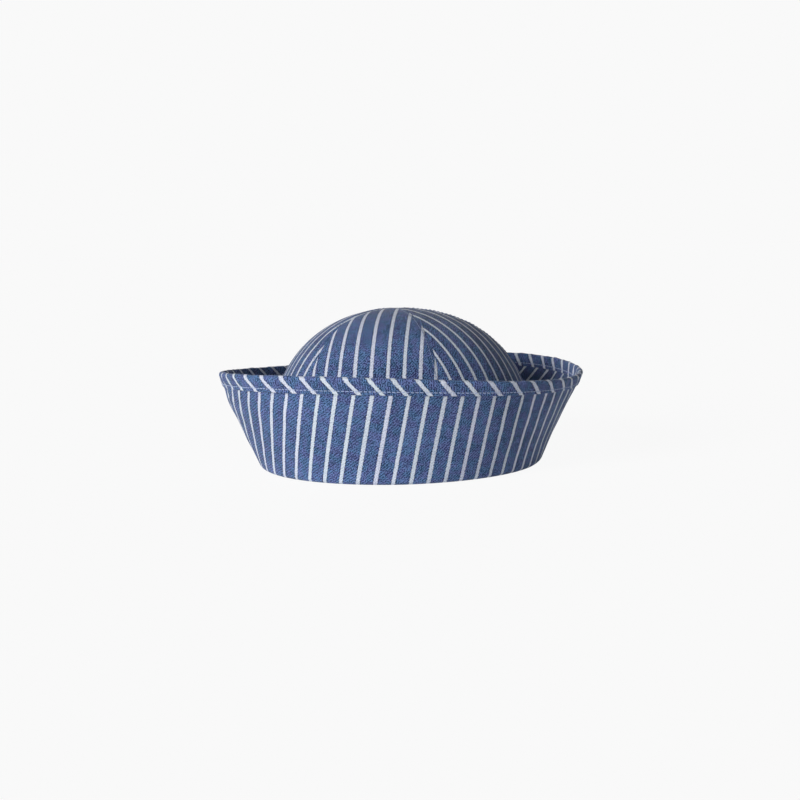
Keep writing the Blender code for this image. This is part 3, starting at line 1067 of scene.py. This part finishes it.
def studio_world(room_light, backdrop_light, paper):
    """A backdrop that looks bright but lights the cap weakly: from behind, and from low down all round."""
    finish = Finish(bpy.data.worlds.new("studio"))
    _, depth, upward = finish.parts(finish.add("ShaderNodeTexCoord", output="Generated"))
    low = 1 - finish.step(upward, -0.25, 0.85)
    seen = finish.add("ShaderNodeLightPath", output="Is Camera Ray")
    level = finish.step(abs(upward), 0.75, 0.10)
    behind = finish.step(depth, 0.30, 0.85) * level
    strength = seen * paper + (1 - seen) * (low * room_light + behind * backdrop_light + 0.02)
    backdrop = finish.add("ShaderNodeBackground", inputs={"Color": WHITE, "Strength": strength})
    return finish.ended(backdrop, "ShaderNodeOutputWorld")


def add_sun(name, strength, width, azimuth, elevation):
    """A sun that shines from this azimuth (0 is the front, 90 the cap's +X side) and elevation."""
    light = bpy.data.lights.new(name, "SUN")
    light.energy = strength
    light.angle = math.radians(width)
    lamp = bpy.data.objects.new(name, light)
    bpy.context.scene.collection.objects.link(lamp)
    a, e = math.radians(azimuth), math.radians(elevation)
    toward = Vector((math.sin(a) * math.cos(e), -math.cos(a) * math.cos(e), math.sin(e)))
    lamp.rotation_euler = toward.to_track_quat("Z", "Y").to_euler()


def add_camera():
    """The camera, which looks at the cap's front from a little above, and is rolled a little."""
    camera = bpy.data.cameras.new("camera")
    camera.lens = CAMERA_LENS
    camera.sensor_width = 36.0
    obj = bpy.data.objects.new("camera", camera)
    bpy.context.scene.collection.objects.link(obj)
    sine, cosine = math.sin(CAMERA_ELEVATION), math.cos(CAMERA_ELEVATION)
    back, right, up = Vector((0, -cosine, sine)), Vector((1, 0, 0)), Vector((0, sine, cosine))
    side = right * math.cos(CAMERA_ROLL) - up * math.sin(CAMERA_ROLL)
    head = right * math.sin(CAMERA_ROLL) + up * math.cos(CAMERA_ROLL)
    spot = Vector((0, 0, CAMERA_AIM_HEIGHT)) + back * CAMERA_DISTANCE
    spot = spot - side * CAMERA_SIDEWAYS - head * CAMERA_DOWN
    turned = Matrix((side, head, back)).transposed()
    obj.matrix_world = Matrix.Translation(spot) @ turned.to_4x4()
    camera.clip_start, camera.clip_end = 0.01, 100.0
    bpy.context.scene.camera = obj


class SAILORCAP_OT_add_crown(bpy.types.Operator):
    """Sew the crown's five striped gores"""

    bl_idname = "sailor_cap.add_crown"
    bl_label = "Add Crown"
    bl_options = {"REGISTER", "UNDO"}

    def execute(self, context):
        for gore in GORES:
            piece, cut = make_gore(gore)
            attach(piece, "root")
            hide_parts(gore.node)
        return {"FINISHED"}


class SAILORCAP_OT_add_brim(bpy.types.Operator):
    """Turn up the striped brim"""

    bl_idname = "sailor_cap.add_brim"
    bl_label = "Add Brim"
    bl_options = {"REGISTER", "UNDO"}

    def execute(self, context):
        piece, cut = make_brim()
        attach(piece, "root")
        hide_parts("brim")
        return {"FINISHED"}


class SAILORCAP_OT_add_binding(bpy.types.Operator):
    """Fold the bias tape over the brim's edge"""

    bl_idname = "sailor_cap.add_binding"
    bl_label = "Add Rim Binding"
    bl_options = {"REGISTER", "UNDO"}

    def execute(self, context):
        piece, cut = make_binding()
        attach(piece, "root")
        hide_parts("rim_binding")
        return {"FINISHED"}


class SAILORCAP_OT_add_stitching(bpy.types.Operator):
    """Stitch the binding and the crown's seams"""

    bl_idname = "sailor_cap.add_stitching"
    bl_label = "Add Stitching"
    bl_options = {"REGISTER", "UNDO"}

    def execute(self, context):
        sizes = cloth_sizes()
        thread = spun_thread("binding_thread", sizes.thread)
        seam_thread = spun_thread("seam_thread", sizes.seam_thread)
        inset = sewing_sizes().binding_inset
        outside = add_stitches("rim_stitches_outside", [binding_row(inset, False)], thread)
        inside = add_stitches("rim_stitches_inside", [binding_row(inset, True)], thread)
        seams = add_stitches("crown_seam_stitches", [gore_row(gore) for gore in GORES], seam_thread)
        for piece, slot in ((outside, "binding_denim"), (inside, "binding_denim"), (seams, "crown_denim")):
            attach(piece, "root")
        return {"FINISHED"}


class SAILORCAP_OT_add_stage(bpy.types.Operator):
    """Set the cap on pale paper in soft light, with the camera"""

    bl_idname = "sailor_cap.add_stage"
    bl_label = "Add Stage"
    bl_options = {"REGISTER", "UNDO"}

    def execute(self, context):
        stage = context.scene.sailor_cap_stage
        bpy.ops.mesh.primitive_plane_add(size=60.0)
        floor = context.active_object
        floor.name = "floor"
        floor.data.materials.append(floor_finish(stage.floor_glow, FLOOR_MATCH * stage.paper))
        context.scene.world = studio_world(stage.room_light, stage.backdrop_light, stage.paper)
        add_sun("key_light", stage.key_light, width=24, azimuth=-45, elevation=19)
        add_sun("fill_light", stage.fill_light, width=60, azimuth=15, elevation=12)
        context.scene.view_settings.view_transform = "Standard"
        add_camera()
        return {"FINISHED"}


OPERATORS = (
    SAILORCAP_OT_add_crown,
    SAILORCAP_OT_add_brim,
    SAILORCAP_OT_add_binding,
    SAILORCAP_OT_add_stitching,
    SAILORCAP_OT_add_stage,
)
SETTINGS = (
    ("sailor_cap_cloth", SAILORCAP_PG_cloth),
    ("sailor_cap_sewing", SAILORCAP_PG_sewing),
    ("sailor_cap_stage", SAILORCAP_PG_stage),
)


class SAILORCAP_PT_sidebar(bpy.types.Panel):
    """The cap's sizes, colours and pieces"""

    bl_idname = "SAILORCAP_PT_sidebar"
    bl_label = "Sailor Cap"
    bl_space_type = "VIEW_3D"
    bl_region_type = "UI"
    bl_category = "Sailor Cap"

    def draw(self, context):
        for attribute, group in SETTINGS:
            for name in group.__annotations__:
                self.layout.prop(getattr(context.scene, attribute), name)
        for operator in OPERATORS:
            self.layout.operator(operator.bl_idname)


def register():
    for attribute, group in SETTINGS:
        bpy.utils.register_class(group)
        setattr(bpy.types.Scene, attribute, bpy.props.PointerProperty(type=group))
    for operator in (*OPERATORS, SAILORCAP_PT_sidebar):
        bpy.utils.register_class(operator)


def unregister():
    for operator in reversed((*OPERATORS, SAILORCAP_PT_sidebar)):
        bpy.utils.unregister_class(operator)
    for attribute, group in reversed(SETTINGS):
        delattr(bpy.types.Scene, attribute)
        bpy.utils.unregister_class(group)


def main():
    register()
    bpy.ops.sailor_cap.add_stage()
    bpy.ops.sailor_cap.add_crown()
    bpy.ops.sailor_cap.add_brim()
    bpy.ops.sailor_cap.add_binding()
    bpy.ops.sailor_cap.add_stitching()


if __name__ == "__main__":
    main()
